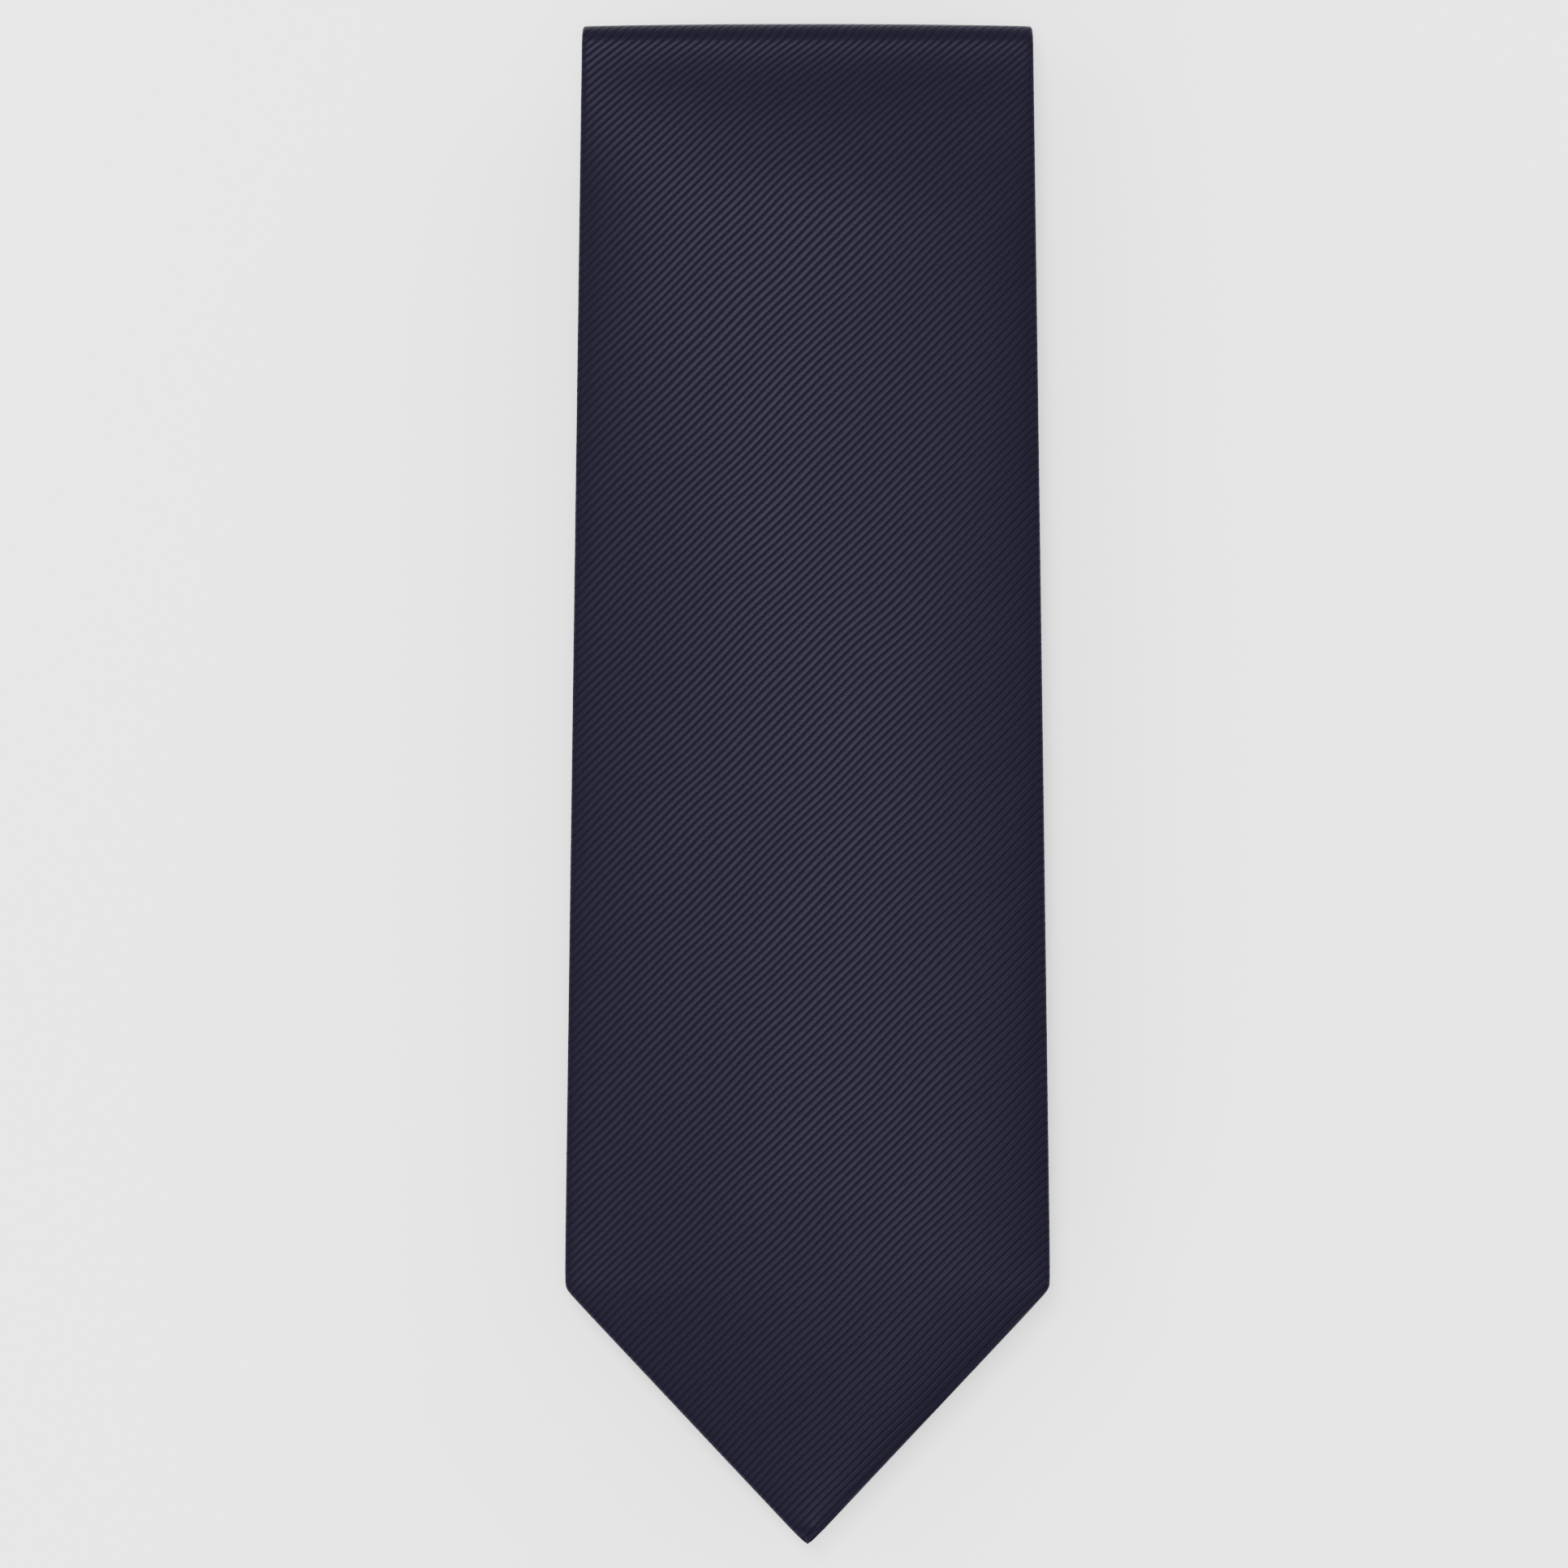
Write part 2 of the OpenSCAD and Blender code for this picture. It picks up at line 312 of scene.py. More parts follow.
def flap_edges(s):
    """X of the left and right back flaps' inner edges, and how far the right one lies over the left."""
    edge = 0.0
    over = 1.0
    for tip_distance, apex, width in ((s, BLADE_APEX, BLADE_W), (STRIP_L - s, TAIL_APEX, TAIL_W)):
        if tip_distance < apex + OVER_REACH:
            inner_low = tip_distance * SLOPE - HEM_X
            widest = width / 2 - HEM
            knee = (widest + HEM_X) / SLOPE
            inner_high = widest * (apex - tip_distance) / (apex - knee)
            edge = max(edge, min(max(inner_low, 0.0), max(inner_high, 0.0)))
            over = min(over, float(smooth(tip_distance, apex - 2 * MM, apex + OVER_REACH)))
            if tip_distance < HEM_X / SLOPE:
                over = 0.0
    return -edge + LEFT_END * over, edge + RIGHT_END * over, over


BLADE_CROWN = 2.3 * MM           # how far the front stands proud: the blade, the layers and the tail
LEAST_CROWN = 0.1 * MM           # what is left of the blade's at its point
LAYER_CROWN = 0.12 * MM
TAIL_CROWN = 0.03 * MM
TOP_FLATTER = 0.86               # share of the blade's crown that is pressed away at the top fold
LEAN_AT_TIP = 0.30


def crown(s, k):
    """Height that the padded front stands proud along its middle."""
    if k > 0:
        return LAYER_CROWN if k < FOLDS else TAIL_CROWN
    y = TIP_Y + s
    pressed = TOP_FLATTER * smooth(y, TOP_Y - 34 * MM, FOLD_Y[0])
    full = smooth(y, TIP_Y - 10 * MM, TIP_Y + 65 * MM) * (1 - pressed)
    return BLADE_CROWN * float(full) + LEAST_CROWN


def lean(s, k):
    """How far right of the middle the front is highest, as a share of its half-width."""
    if k > 0:
        return 0.0
    return LEAN_AT_TIP * (1 - min(max(s / LAYER_L[0], 0.0), 1.0))


def edge_roll(s):
    """How far the rolled side edge bulges."""
    start, turned = FOLD_S[0], LAYER_S[1]
    pressed = smooth(s, start - PRESSED_REACH, start) * (1 - smooth(s, turned, turned + PRESSED_REACH))
    return EDGE_R + (TOP_EDGE_R - EDGE_R) * float(pressed)


def ripple(x, s):
    """Gentle unevenness of pressed cloth."""
    return (0.10 * np.sin(x / (13 * MM) + s / (31 * MM)) * math.sin(s / (47 * MM) + 0.6)
            + 0.05 * np.sin(x / (7 * MM) - s / (19 * MM))) * MM


def shell_section(s):
    """The shell cloth, from the left flap's inner edge round the front to the right flap's."""
    w = half_width(s)
    k, _ = layer_at(s)
    squeeze = min(1.0, (w + 0.1 * MM) / (3 * MM))        # the strip thins out at its very tips
    b = HALF_T * squeeze
    roll = min(edge_roll(s), w * 0.6)
    left_in, right_in, over = flap_edges(s)
    limit = w - roll - 0.05 * MM
    left_in = max(min(left_in, limit), -limit)
    right_in = max(min(right_in, limit), -limit)
    t = np.linspace(0, 1, FLAP_N)
    step = np.linspace(0, math.pi, ROLL_N + 2)[1:-1]
    back = b - BACK_SINK * squeeze
    xl = left_in + (-(w - roll) - left_in) * t
    hl = np.full(FLAP_N, -back)
    xr = (w - roll) + (right_in - (w - roll)) * t
    hr = -back - over * FLAP_RISE * (1 - smooth(xr, STEP_START, STEP_END))
    roll_lx = -(w - roll) - roll * np.sin(step)
    middle, half = (b - back) / 2, (b + back) / 2
    roll_lh = middle - half * np.cos(step)
    f = np.linspace(-1, 1, FRONT_N)
    f = np.sign(f) * (1 - (1 - np.abs(f)) ** 1.25)
    xf = (w - roll) * f
    leaning = f - lean(s, k) * (1 - f * f)
    hf = b + crown(s, k) * np.maximum(0, 1 - leaning ** 2) ** 0.8
    if k == 0:
        calm = smooth(s, 0, 30 * MM) * (1 - smooth(TIP_Y + s, TOP_Y - 12 * MM, FOLD_Y[0]))
        hf = hf + (ripple(xf, s) + 0.1 * MM) * float(calm) * (1 - f ** 6)
    roll_rx = (w - roll) + roll * np.sin(step)
    roll_rh = middle + half * np.cos(step)
    x = np.concatenate([xl, roll_lx, xf, roll_rx, xr])
    h = np.concatenate([hl, roll_lh, hf, roll_rh, hr])
    u = np.concatenate([[0], np.cumsum(np.hypot(np.diff(x), np.diff(h)))])
    mid = FLAP_N + ROLL_N + FRONT_N // 2
    return x, h, u - u[mid], CLOTH_T * max(squeeze, 0.3)


SHELL_STEP, CORE_STEP = 2 * MM, 6 * MM
SHELL_TURN, CORE_TURN = 75, 20                 # degrees
LEAST_ROW_GAP = 0.03 * MM


def rows_between(a, b, step, turn):
    """Places along the strip, close together at the tips and round the folds. Round a fold there are none
    between turn degrees and its very middle, so that no loop stands out of the cloth when it is unfolded."""
    places = {a, b}
    places.update(float(s) for s in np.arange(a, b, step))
    for k, start in enumerate(FOLD_S):
        if a < start < b:
            length = math.pi * FOLD_R[k]
            share, slack = turn / 180, 0.001
            for t in np.linspace(0, share, 8):
                places.update((start + t * length, start + (1 - t) * length))
            places.add(start + length / 2)
            places = {p for p in places
                      if not share + slack < (p - start) / length < 0.5 - slack
                      and not 0.5 + slack < (p - start) / length < 1 - share - slack}
            for t in np.linspace(0, 3 * MM, 7):
                places.update((start - t, start + length + t))
            for t in np.arange(-24 * MM, 0, 1 * MM):
                places.add(start + t)
    for tip, sign, corner in ((0.0, 1, STATIONS_S[0]), (STRIP_L, -1, STATIONS_S[-1])):
        for t in np.linspace(0, 1, 14) ** 1.6 * 5 * MM:
            p = tip + sign * t
            if a <= p <= b:
                places.add(float(p))
        for t in np.linspace(-3 * MM, 3 * MM, 13):
            if a < corner + t < b:
                places.add(corner + t)
    rows = sorted(p for p in places if a <= p <= b)
    kept = [rows[0]]
    for p in rows[1:]:
        if p - kept[-1] > LEAST_ROW_GAP:
            kept.append(p)
    return kept


# Each piece of the strip ends half-way along a layer and covers one fold.
CUTS = [0.0] + [LAYER_S[k] + LAYER_L[k] / 2 for k in range(1, FOLDS)] + [STRIP_L]


def bend_over(piece):
    """Bakes the piece's placement into its mesh."""
    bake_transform(piece)


# ---------------------------------------------------------------- materials

def lin(*rgb):
    """Colour for a shader from its screen values, 0 to 255."""
    parts = [c / 255 for c in rgb]
    return tuple(((c + 0.055) / 1.055) ** 2.4 if c > 0.04045 else c / 12.92 for c in parts) + (1.0,)


class Tree:
    """Short-hand for a material's nodes. A value may be a number, a colour or another node's output."""

    def __init__(self, name):
        self.material = bpy.data.materials.new(name)
        self.material.use_nodes = True
        self.tree = self.material.node_tree
        self.shader = self.tree.nodes["Principled BSDF"]

    def node(self, kind, **settings):
        n = self.tree.nodes.new(kind)
        for key, value in settings.items():
            setattr(n, key, value)
        return n

    def put(self, socket, value):
        if isinstance(value, bpy.types.NodeSocket):
            self.tree.links.new(value, socket)
        else:
            socket.default_value = value

    def math(self, op, a, b=0.0):
        n = self.node("ShaderNodeMath", operation=op)
        self.put(n.inputs[0], a)
        self.put(n.inputs[1], b)
        return n.outputs[0]

    def mix(self, factor, a, b):
        n = self.node("ShaderNodeMix", data_type="RGBA")
        self.put(n.inputs[0], factor)
        self.put(n.inputs[6], a)
        self.put(n.inputs[7], b)
        return n.outputs[2]

    def range(self, value, low, high, to_low=0.0, to_high=1.0, smoothed=False):
        n = self.node("ShaderNodeMapRange")
        if smoothed:
            n.interpolation_type = "SMOOTHSTEP"
        for socket, v in zip(n.inputs, (value, low, high, to_low, to_high)):
            self.put(socket, v)
        return n.outputs[0]

    def noise(self, vector, scale, detail=2.0, rough=0.5):
        n = self.node("ShaderNodeTexNoise")
        self.put(n.inputs["Vector"], vector)
        n.inputs["Scale"].default_value = scale
        n.inputs["Detail"].default_value = detail
        n.inputs["Roughness"].default_value = rough
        return n.outputs[0]

    def combine(self, x, y, z=0.0):
        n = self.node("ShaderNodeCombineXYZ")
        for socket, v in zip(n.inputs, (x, y, z)):
            self.put(socket, v)
        return n.outputs[0]

    def bump(self, height, distance, strength):
        n = self.node("ShaderNodeBump")
        n.inputs["Strength"].default_value = strength
        n.inputs["Distance"].default_value = distance
        self.put(n.inputs["Height"], height)
        return n.outputs[0]

    def set(self, **values):
        """Sets numbers and colours on the shader itself. An underscore stands for a space in a name."""
        for name, value in values.items():
            self.shader.inputs[name.replace("_", " ")].default_value = value


RIB_PITCH = 1.135 * MM
BEAD_PITCH = 0.50 * MM
RIB_WANDER = 1.6 * MM            # how far the ribs stray over a palm's width
# The groove colours are painted shade: the grooves between the ribs are coloured darker than the crests.
SHADED_GROOVE_DARK, SHADED_GROOVE_LIGHT = (0.0015, 0.0012, 0.0034, 1), (0.0026, 0.0021, 0.0054, 1)
CREST_DARK, CREST_LIGHT = (0.0042, 0.0035, 0.0081, 1), (0.0047, 0.0039, 0.0090, 1)
PATCH = (0.0032, 0.0027, 0.0065, 1)
GROOVE_ROUGH, CREST_ROUGH = 0.46, 0.33


def rep_cloth():
    """Ribbed silk: rounded ribs at 45 degrees with beaded grooves between them, and painted shade in the
    grooves.
    """
    t = Tree("navy_rep")
    at = t.node("ShaderNodeAttribute", attribute_name="cloth", attribute_type="GEOMETRY")
    split = t.node("ShaderNodeSeparateXYZ")
    t.put(split.inputs[0], at.outputs["Vector"])
    u, v = split.outputs[0], split.outputs[1]
    scaled = t.combine(t.math("MULTIPLY", u, 1000.0), t.math("MULTIPLY", v, 1000.0))     # millimetres
    wander = t.math("MULTIPLY", t.math("SUBTRACT", t.noise(scaled, 0.035, 1.0), 0.5), RIB_WANDER)
    across = t.math("MULTIPLY", t.math("SUBTRACT", v, u), math.sqrt(0.5))
    across = t.math("ADD", across, wander)
    along = t.math("MULTIPLY", t.math("ADD", v, u), math.sqrt(0.5))
    count = t.math("DIVIDE", across, RIB_PITCH)
    rib = t.math("FLOOR", count)
    place_in_rib = t.math("FRACT", count)
    # each rib's beads start half a bead further on than its neighbour's
    bead_at = t.math("ADD", t.math("DIVIDE", along, BEAD_PITCH), t.math("MULTIPLY", rib, 0.5))
    bead = t.math("SINE", t.math("MULTIPLY", bead_at, 2 * math.pi))
    stretched = t.combine(t.math("MULTIPLY", along, 900.0), t.math("MULTIPLY", across, 5200.0))
    yarn = t.noise(stretched, 1.0, 2.0, 0.6)
    shifted = t.math("ADD", place_in_rib, t.math("MULTIPLY", bead, 0.045))
    shifted = t.math("ADD", shifted, t.math("MULTIPLY", t.math("SUBTRACT", yarn, 0.5), 0.10))
    rise = t.range(shifted, 0.02, 0.24, smoothed=True)
    fall = t.range(shifted, 0.66, 0.94, 1.0, 0.0, smoothed=True)
    top = t.math("MULTIPLY", rise, fall)
    # a faint second line along each rib, where its two yarns lie side by side
    fold = t.math("ABSOLUTE", t.math("SUBTRACT", place_in_rib, 0.46))
    line = t.range(fold, 0.0, 0.09, 1.0, 0.0, smoothed=True)
    height = t.math("SUBTRACT", top, t.math("MULTIPLY", line, 0.10))
    in_groove = t.math("SUBTRACT", 1.0, top)
    height = t.math("ADD", height, t.math("MULTIPLY", t.math("MULTIPLY", bead, in_groove), 0.16))
    height = t.math("ADD", height, t.math("MULTIPLY", yarn, 0.22))
    rib_tone = t.noise(t.combine(t.math("MULTIPLY", rib, 1.37), t.math("MULTIPLY", along, 12.0)), 1.0, 1.0)
    cloudy = t.noise(scaled, 0.05, 3.0)
    # Painted shade: the grooves take the darker colours, varied by the yarn's own random tone.
    shaded_groove = t.mix(yarn, SHADED_GROOVE_DARK, SHADED_GROOVE_LIGHT)
    crest = t.mix(t.range(rib_tone, 0.3, 0.7), CREST_DARK, CREST_LIGHT)
    patchy = t.math("MULTIPLY", t.range(cloudy, 0.35, 0.65), 0.10)
    t.put(t.shader.inputs["Base Color"], t.mix(patchy, t.mix(top, shaded_groove, crest), PATCH))
    t.put(t.shader.inputs["Roughness"], t.range(top, 0.0, 1.0, GROOVE_ROUGH, CREST_ROUGH))
    t.set(Specular_IOR_Level=0.030, Specular_Tint=(0.92, 0.86, 1.15, 1),
          Sheen_Weight=0.03, Sheen_Roughness=0.5, Sheen_Tint=(0.75, 0.72, 1.0, 1))
    t.put(t.shader.inputs["Normal"], t.bump(height, 0.16 * MM, 0.42))
    return t.material


def plain_weave(name, dark, light, thread_pitch, rough, sheen, bump, gloss):
    """Plain weave of fine yarns, over and under in turn."""
    t = Tree(name)
    where = t.node("ShaderNodeTexCoord").outputs["Object"]
    split = t.node("ShaderNodeSeparateXYZ")
    t.put(split.inputs[0], where)
    k = math.pi / thread_pitch
    warp = t.math("SINE", t.math("MULTIPLY", split.outputs[0], k))
    weft = t.math("SINE", t.math("MULTIPLY", split.outputs[1], k))
    checks = t.math("MULTIPLY", warp, weft)
    big = t.noise(where, 120.0, 3.0)
    fuzz = t.noise(where, 4200.0, 2.0, 0.7)
    unevenness = t.math("MULTIPLY", t.math("ADD", fuzz, big), 0.5)
    tone = t.math("ADD", t.math("MULTIPLY", checks, 0.28), unevenness)
    t.put(t.shader.inputs["Base Color"], t.mix(t.range(tone, 0.1, 0.9), dark, light))
    t.put(t.shader.inputs["Roughness"], t.range(checks, -1.0, 1.0, rough + 0.08, rough - 0.08))
    t.set(Specular_IOR_Level=gloss, Sheen_Weight=sheen)
    t.put(t.shader.inputs["Normal"], t.bump(t.math("ADD", checks, fuzz), bump, 0.8))
    return t.material


THREAD_TWIST = 0.35 * MM


def sewing_thread():
    """Dark thread with a twist along it, and painted highlight on each turn of the twist."""
    t = Tree("sewing_thread")
    where = t.node("ShaderNodeTexCoord").outputs["Object"]
    split = t.node("ShaderNodeSeparateXYZ")
    t.put(split.inputs[0], where)
    along = t.math("ADD", split.outputs[0], split.outputs[1])
    twist = t.math("SINE", t.math("MULTIPLY", along, 2 * math.pi / THREAD_TWIST))
    fuzz = t.noise(where, 6000.0, 2.0)
    # Painted highlight: the colour is lighter where each turn of the twist stands highest, with some random
    # fuzz.
    twist_highlight = t.range(t.math("ADD", twist, fuzz), -0.8, 1.6)
    t.put(t.shader.inputs["Base Color"], t.mix(twist_highlight, lin(12, 12, 22), lin(36, 36, 54)))
    t.set(Roughness=0.6, Specular_IOR_Level=0.1)
    t.put(t.shader.inputs["Normal"], t.bump(twist, 0.05 * MM, 0.7))
    return t.material


def floor_material():
    t = Tree("pale_floor")
    where = t.node("ShaderNodeTexCoord").outputs["Object"]
    tone = t.noise(where, 3.0, 2.0)
    t.put(t.shader.inputs["Base Color"], t.mix(tone, (0.90, 0.90, 0.90, 1), (0.93, 0.93, 0.93, 1)))
    t.set(Roughness=0.9, Specular_IOR_Level=0.1)
    return t.material


REP = rep_cloth()
WOOL = plain_weave("interlining_wool", lin(150, 145, 130), lin(190, 186, 170), 0.55 * MM,
                   rough=0.85, sheen=0.15, bump=0.10 * MM, gloss=0.2)
LINING = plain_weave("lining_satin", lin(12, 12, 24), lin(22, 22, 39), 0.16 * MM,
                     rough=0.45, sheen=0.01, bump=0.03 * MM, gloss=0.04)
LABEL = plain_weave("label_damask", lin(8, 8, 10), lin(18, 18, 22), 0.22 * MM,
                    rough=0.5, sheen=0.01, bump=0.04 * MM, gloss=0.04)
CARE = plain_weave("care_tape", lin(150, 150, 145), lin(185, 185, 179), 0.18 * MM,
                   rough=0.6, sheen=0.05, bump=0.03 * MM, gloss=0.2)
THREAD = sewing_thread()


# ---------------------------------------------------------------- shell and interlining, a piece per fold

SHELL_NODES = [
    ["blade_shell", "shell_bend_1"],
    ["shell_panel_2", "shell_bend_2"],
    ["shell_panel_3", "shell_bend_3"],
    ["shell_panel_4", "shell_bend_4"],
    ["shell_panel_5", "shell_bend_5", "tail_shell"],
]


CORE_T = 0.6 * MM
CORE_INSET_X = 1.9 * MM          # the interlining stops this far from the shell's side edges
CORE_INSET_S = 2.2 * MM          # and this far from its tips


def core_section(s):
    """The interlining lies inside the shell, clear of its rolled edges."""
    w = max(half_width(s) - CORE_INSET_X, 0.12 * MM)
    x = np.linspace(-w, w, 25)
    thick = CORE_T * min(1.0, (w + 0.2 * MM) / (2 * MM))
    return x, np.zeros_like(x), x.copy(), thick


def flat_sheet(a, b, section):
    """Works out the cloth's sections along a length of the strip, laid out flat, and keeps nothing of them.
    """
    for s in np.linspace(a, b, 200):
        _, _, u, _ = section(s)


def make_strip():
    """The shell cloth and the interlining, in one piece each for every fold."""
    for k in range(FOLDS):
        a, b = CUTS[k], CUTS[k + 1]
        shell = sweep(f"shell_cloth_{k + 1}", rows_between(a, b, SHELL_STEP, SHELL_TURN), shell_section)
        finish_piece(shell, REP, SHELL_NODES[k])
        bend_over(shell)
        flat_sheet(a, b, shell_section)
        nodes = [f"interlining_{k + 1}", f"interlining_bend_{k + 1}"]
        if k == 0:
            a += CORE_INSET_S
        if k == FOLDS - 1:
            b -= CORE_INSET_S
            nodes.append(f"interlining_{LAYERS}")
        core = sweep(f"interlining_strip_{k + 1}", rows_between(a, b, CORE_STEP, CORE_TURN), core_section)
        finish_piece(core, WOOL, nodes)
        bend_over(core)
        flat_sheet(a, b, core_section)


make_strip()


# ---------------------------------------------------------------- sewn pieces on the backs

BLADE_BACK = LAYER_Z[0] - HALF_T + BACK_SINK - CLOTH_T / 2       # outer face of the blade's back flaps


def blade_back(x):
    """Z of the blade's back under its labels, with the step of the overlapping flap eased."""
    step = smooth(x, -7 * MM, -1.4 * MM) * (1 - smooth(x, STEP_START, STEP_END + 1 * MM))
    return BLADE_BACK - FLAP_RISE * float(step)


def middle_and_size(node):
    """Middle and size of a CAD node's box."""
    low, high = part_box(node)
    return [(a + b) / 2 for a, b in zip(low, high)], [b - a for a, b in zip(low, high)]


LABEL_T = 0.18 * MM


def bumpy_label(node, name, material, sewn_edges):
    """Label on the blade's back, sewn down along some edges and a little wavy away from them."""
    (cx, cy, _), (sx, sy, _) = middle_and_size(node)
    xs = np.linspace(cx - sx / 2, cx + sx / 2, 33)
    ys = np.linspace(cy - sy / 2, cy + sy / 2, 25)

    def height(x, y):
        ax, ay = (x - cx) / (sx / 2), (y - cy) / (sy / 2)
        free = (1 - abs(ax) ** 4) if sewn_edges == "sides" else 0.5 - 0.5 * ay
        wave = 0.5 + 0.5 * math.sin(ax * 2.1 + ay * 1.3)
        return blade_back(x) - (0.13 + 0.25 * free * wave) * MM

    verts = [(x, y, height(x, y) + side * LABEL_T) for side in (0.5, -0.5) for y in ys for x in xs]
    cloth = [(y, x, 0) for x, y, _ in verts]
    piece = outward(link(name, verts, two_sided(len(xs), len(ys)), cloth))
    finish_piece(piece, material, [node], "blade")


bumpy_label("plain_label", "woven_label", LABEL, "sides")
bumpy_label("care_label", "care_tape_label", CARE, "top")


LINING_T = 0.16 * MM
HEM_TUCK = 3 * MM                # how far the lining reaches under the hem


def tipping(name, node, apex, width, body):
    """Lining cloth seen in the open back of a point. It reaches under the hem all round."""
    on_blade = body == "blade"
    k, tip_y = (0, TIP_Y) if on_blade else (FOLDS, TAIL_TIP_Y)
    out = -facing(k)
    z = LAYER_Z[k] + out * (HALF_T - BACK_SINK - CLOTH_T / 2 - 0.09 * MM)
    low = HEM_X / SLOPE - HEM_TUCK
    knee_x = width / 2 - HEM + HEM_TUCK * 0.6
    knee = low + knee_x / SLOPE
    high = apex + HEM_TUCK * 1.5
    rows, verts = [], []
    for up in np.concatenate([np.linspace(low, knee, 16), np.linspace(knee, apex + HEM_TUCK, 16)[1:]]):
        w = min((up - low) * SLOPE, knee_x * (high - up) / (high - knee))
        rows.append((max(w, 0.3 * MM), tip_y + up))
    n = 21
    for side in (0.5, -0.5):
        for w, y in rows:
            drop = droop(y) if on_blade else 0.0
            for i in range(n):
                x = w * (2 * i / (n - 1) - 1)
                puff = -out * 0.03 * MM * math.sin(x / (4 * MM)) * math.sin(y / (5 * MM))
                verts.append((x, y, z - drop + puff + side * LINING_T))
    piece = outward(link(name, verts, two_sided(n, len(rows))))
    finish_piece(piece, LINING, [node], body)


tipping("blade_lining", "blade_tipping", BLADE_APEX, BLADE_W, "blade")
tipping("tail_lining", "tail_tipping", TAIL_APEX, TAIL_W, "tail")


KEEPER_T = 0.75 * MM
KEEPER_BOW = 0.8 * MM
KEEPER_FOOT = 5 * MM             # each end of the keeper lies flat over about this length


def keeper():
    """Band of the shell cloth across the back of the blade, folded double and bowed a little out."""
    (_, cy, _), (sx, sy, _) = middle_and_size("keeper_loop")
    low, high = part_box("keeper_loop")
    xs = np.linspace(low[0], high[0], 61)
    n_flat, n_round = 9, 6
    r = KEEPER_T / 2
    half = sy / 2 - r
    upper = [(half * (2 * i / (n_flat - 1) - 1), r) for i in range(n_flat)]
    angles = [math.pi * i / n_round for i in range(1, n_round)]
    right = [(half + r * math.sin(a), r * math.cos(a)) for a in angles]
    ring = upper + right + [(-y, -h) for y, h in upper + right]
    verts, faces, cloth = [], [], []
    for x in xs:
        inside = min(x - low[0], high[0] - x)
        bow = float(smooth(inside, KEEPER_FOOT * 0.7, KEEPER_FOOT * 2.2)) * KEEPER_BOW
        sag = 0.10 * MM * math.sin(x / (9 * MM))
        z = BLADE_BACK - r - 0.04 * MM - bow
        for y, h in ring:
            verts.append((x, cy + y + sag, z + h))
            cloth.append((x, y + 3 * MM, 0))
    m = len(ring)
    for i in range(len(xs) - 1):
        for j in range(m):
            n = (j + 1) % m
            faces.append((i * m + j, i * m + n, (i + 1) * m + n, (i + 1) * m + j))
    faces.append(tuple(range(m)))
    faces.append(tuple(range((len(xs) - 1) * m, len(xs) * m)))
    piece = outward(link("keeper_band", verts, faces, cloth))
    finish_piece(piece, REP, ["keeper_loop"], "blade")


keeper()


# ---------------------------------------------------------------- stitches

STITCH_SIDES, STITCH_POINTS = 8, 7


def stitch_mesh(name, runs, radius, node, body):
    """Stitches as slim tubes with narrow ends, each along its own short run of points."""
    verts, faces = [], []
    sides = STITCH_SIDES
    for points in runs:
        points = [np.array(p, float) for p in points]
        base = len(verts)
        count = len(points)
        for i, p in enumerate(points):
            ahead = points[min(i + 1, count - 1)] - points[max(i - 1, 0)]
            ahead = ahead / (np.linalg.norm(ahead) + 1e-12)
            side = np.cross(ahead, (0, 0, 1.0))
            side = side / (np.linalg.norm(side) + 1e-12)
            up = np.cross(side, ahead)
            r = radius * (0.35 if i in (0, count - 1) else 1.0)
            for j in range(sides):
                a = 2 * math.pi * j / sides
                verts.append(tuple(p + r * (math.cos(a) * side + math.sin(a) * up)))
        for i in range(count - 1):
            for j in range(sides):
                n = (j + 1) % sides
                a = base + i * sides
                faces.append((a + j, a + n, a + sides + n, a + sides + j))
        faces.append(tuple(base + j for j in range(sides)))
        faces.append(tuple(base + (count - 1) * sides + j for j in range(sides)))
    finish_piece(outward(link(name, verts, faces)), THREAD, [node], body)


def dash(a, b, lift, normal=(0, 0, -1)):
    """Points of one stitch from a to b that rises along normal between them."""
    a, b, n = np.array(a, float), np.array(b, float), np.array(normal, float)
    return [a + (b - a) * t + n * lift * math.sin(math.pi * t) for t in np.linspace(0, 1, STITCH_POINTS)]


SLIP_LENGTH, SLIP_PITCH = 7 * MM, 12 * MM
LABEL_STITCH, LABEL_STITCH_PITCH = 1.5 * MM, 2.1 * MM
LABEL_STITCH_IN = 1.2 * MM       # the label's stitch rows run this far inside its edges


def slip_stitches():
    """Long stitches that close the centre back seam, inside the shell."""
    for k in range(LAYERS):
        low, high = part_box(f"slip_stitch_{k + 1}")
        face = facing(k)
        runs = []
        y = low[1]
        z = LAYER_Z[k] - face * (HALF_T - BACK_SINK - CLOTH_T / 2 - 0.02 * MM)
        while y < high[1] - 2 * MM:
            x = 0.15 * MM * math.sin(y * 900)
            end = (x + 0.3 * MM, y + SLIP_LENGTH, z)
            runs.append(dash((x, y, z), end, 0.05 * MM, (0, 0, -face)))
            y += SLIP_PITCH
        stitch_mesh(f"slip_thread_{k + 1}", runs, 0.07 * MM, f"slip_stitch_{k + 1}", BODIES[k])


slip_stitches()


def keeper_tacks():
    """Short stitches across each end of the keeper."""
    low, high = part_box("keeper_loop_tacks")
    bottom = BLADE_BACK - 0.83 * MM
    runs = []
    for x in (low[0] + 0.4 * MM, high[0] - 0.4 * MM):
        y = low[1]
        while y < high[1]:
            middle = x + RANDOM.uniform(-0.12, 0.12) * MM
            start, end = (middle - 0.9 * MM, y, bottom), (middle + 0.9 * MM, y + 0.25 * MM, bottom)
            runs.append(dash(start, end, 0.10 * MM))
            y += 0.75 * MM
    stitch_mesh("keeper_tack_stitches", runs, 0.12 * MM, "keeper_loop_tacks", "blade")


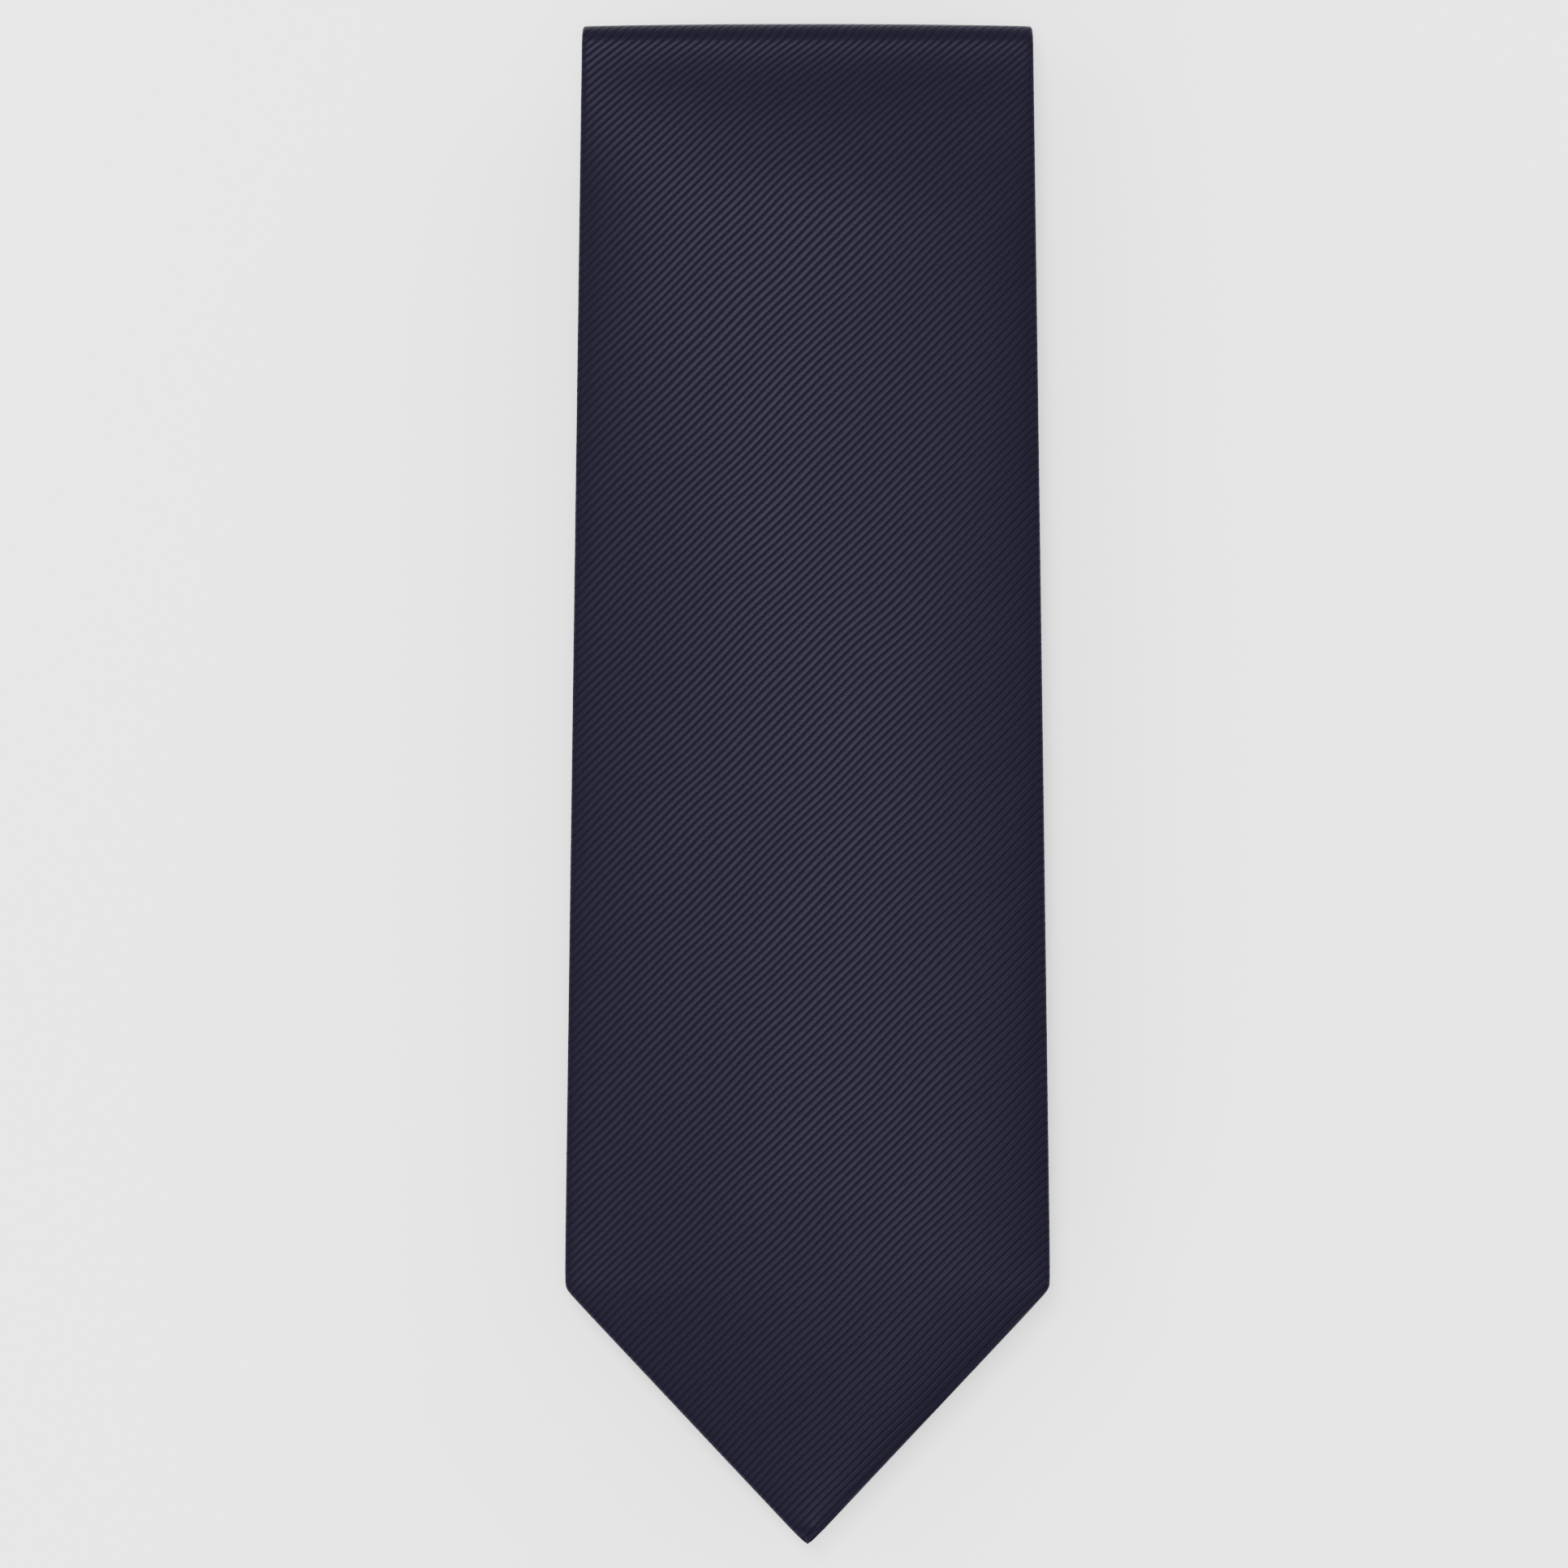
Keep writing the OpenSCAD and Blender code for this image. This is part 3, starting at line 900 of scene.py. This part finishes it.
def label_rows():
    """Rows of stitches down the woven label's sides and across the care label's top."""
    low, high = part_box("plain_label")
    runs = []
    for x in (low[0] + LABEL_STITCH_IN, high[0] - LABEL_STITCH_IN):
        z = blade_back(x) - 0.25 * MM
        y = low[1] + 1.5 * MM
        while y < high[1] - 2 * MM:
            runs.append(dash((x, y, z), (x + 0.05 * MM, y + LABEL_STITCH, z), 0.07 * MM))
            y += LABEL_STITCH_PITCH
    low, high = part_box("care_label")
    x, y = low[0] + LABEL_STITCH_IN, high[1] - LABEL_STITCH_IN
    while x < high[0] - 2 * MM:
        z = blade_back(x) - 0.25 * MM
        runs.append(dash((x, y, z), (x + LABEL_STITCH, y, z), 0.07 * MM))
        x += LABEL_STITCH_PITCH
    stitch_mesh("label_stitch_rows", runs, 0.10 * MM, "label_stitches", "blade")


def bar_tacks():
    """A bar of close stitches over two long ones, where each end of the back seam is made fast."""
    for body, k in (("blade", 0), ("tail", FOLDS)):
        (cx, cy, _), (sx, _, _) = middle_and_size(f"{body}_bar_tack")
        out = -facing(k)
        z = LAYER_Z[k] + out * (HALF_T - BACK_SINK + CLOTH_T / 2 + FLAP_RISE * 0.9)
        runs = []
        count = 18
        for i in range(count):
            x = cx - sx / 2 + sx * (i + 0.5) / count
            start, end = (x - 0.1 * MM, cy - 0.8 * MM, z), (x + 0.15 * MM, cy + 0.8 * MM, z)
            runs.append(dash(start, end, 0.12 * MM, (0, 0, out)))
        for y in (cy - 0.3 * MM, cy + 0.3 * MM):
            runs.append(dash((cx - sx / 2, y, z), (cx + sx / 2, y, z), 0.05 * MM, (0, 0, out)))
        stitch_mesh(f"{body}_tack_bar", runs, 0.13 * MM, f"{body}_bar_tack", body)


keeper_tacks()
label_rows()
bar_tacks()


def thread_loop():
    """The spare loop of the slip-stitch thread, a little more than one turn."""
    (cx, cy, _), (sx, _, _) = middle_and_size("tail_thread_loop")
    back = LAYER_Z[FOLDS] + HALF_T - BACK_SINK + CLOTH_T / 2 + FLAP_RISE
    r = sx / 2 - 0.3 * MM
    points = []
    for i in range(41):
        a = 2 * math.pi * i / 40 * 1.12 + 0.4
        x = cx + r * (1 + 0.10 * math.sin(2 * a)) * math.cos(a)
        y = cy + r * 0.9 * math.sin(a)
        points.append((x, y, back + 0.12 * MM + 0.16 * MM * i / 40))
    stitch_mesh("spare_thread_loop", [points], 0.12 * MM, "tail_thread_loop", "tail")


thread_loop()


SEAM_OFFSETS = [-0.5, -0.27, -0.04, 0.04, 0.27, 0.5]               # share of the seam's width
SEAM_LIFTS = [0.02 * MM, 0.03 * MM, -0.01 * MM, -0.01 * MM, 0.03 * MM, 0.02 * MM]
SEAM_T = 0.05 * MM


def piecing(node, name, k):
    """Seam allowances of a bias seam, pressed open on the inside of the shell."""
    low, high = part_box(node)
    z = (low[2] + high[2]) / 2
    half_x = (high[0] - low[0]) / 2
    rise = high[0] - low[0]              # the seam runs at 45 degrees
    wide = high[1] - low[1] - rise
    cy = (low[1] + high[1]) / 2
    n, verts = 25, []
    for side in (0.5, -0.5):
        for offset, lift in zip(SEAM_OFFSETS, SEAM_LIFTS):
            for i in range(n):
                x = half_x * (2 * i / (n - 1) - 1)
                y = cy + rise * x / (2 * half_x) + offset * wide
                verts.append((x, y, z + lift + side * SEAM_T))
    cloth = [(x, y, 0) for x, y, _ in verts]
    piece = outward(link(name, verts, two_sided(n, len(SEAM_OFFSETS)), cloth))
    finish_piece(piece, REP, [node], BODIES[k])


piecing("blade_piecing_seam", "blade_to_neck_seam", 3)
piecing("tail_piecing_seam", "neck_to_tail_seam", 4)


# ---------------------------------------------------------------- floor, light and camera

FLOOR_SIZE = 6.0


def floor():
    n = 8
    steps = np.linspace(-FLOOR_SIZE / 2, FLOOR_SIZE / 2, n + 1)
    verts = [(x, y, 0.0) for y in steps for x in steps]
    faces = [(j * (n + 1) + i, j * (n + 1) + i + 1, (j + 1) * (n + 1) + i + 1, (j + 1) * (n + 1) + i)
             for j in range(n) for i in range(n)]
    piece = link("floor", verts, faces)
    piece.data.materials.append(floor_material())


floor()


def area_light(name, place_at, target, size, power):
    """Soft box that shines from place_at to target."""
    data = bpy.data.lights.new(name, "AREA")
    data.shape = "RECTANGLE"
    data.size, data.size_y = size
    data.energy = power
    lamp = bpy.data.objects.new(name, data)
    bpy.context.scene.collection.objects.link(lamp)
    lamp.location = place_at
    lamp.rotation_euler = (Vector(target) - Vector(place_at)).to_track_quat("-Z", "Y").to_euler()


area_light("key_light", (-0.11, 0.18, 2.2), (0, 0, 0), (0.40, 0.9), 78)
area_light("side_light", (-1.5, 0.9, 1.3), (0, 0, 0), (0.8, 0.8), 14)
area_light("low_panel_1", (1.1, 1.1, 0.5), (0, 0, 0.01), (1.0, 0.7), 24)
area_light("low_panel_2", (-1.1, -1.1, 0.5), (0, 0, 0.01), (1.0, 0.7), 24)

WORLD_LIGHT = 1.7
world = bpy.data.worlds.new("studio")
world.use_nodes = True
background = world.node_tree.nodes["Background"]
background.inputs["Color"].default_value = (1, 1, 1, 1)
background.inputs["Strength"].default_value = WORLD_LIGHT
bpy.context.scene.world = world

# The camera looks straight down. The tie stands a little right of the picture's middle.
PICTURE_M = 275.1 * MM           # width of the floor area in the picture, at the height of the blade
CAMERA_UP = 3.0
CAMERA_LEFT = 0.015 * PICTURE_M
SENSOR_MM = 36
camera_data = bpy.data.cameras.new("camera")
camera_data.sensor_width = SENSOR_MM
camera_data.lens = SENSOR_MM * CAMERA_UP / PICTURE_M
camera = bpy.data.objects.new("camera", camera_data)
bpy.context.scene.collection.objects.link(camera)
MIDDLE_Y = (CAD_BOUNDS[0][1] + CAD_BOUNDS[1][1]) / 2
camera.location = (-CAMERA_LEFT, MIDDLE_Y, CAD_BOUNDS[1][2] + CAMERA_UP)
bpy.context.scene.camera = camera
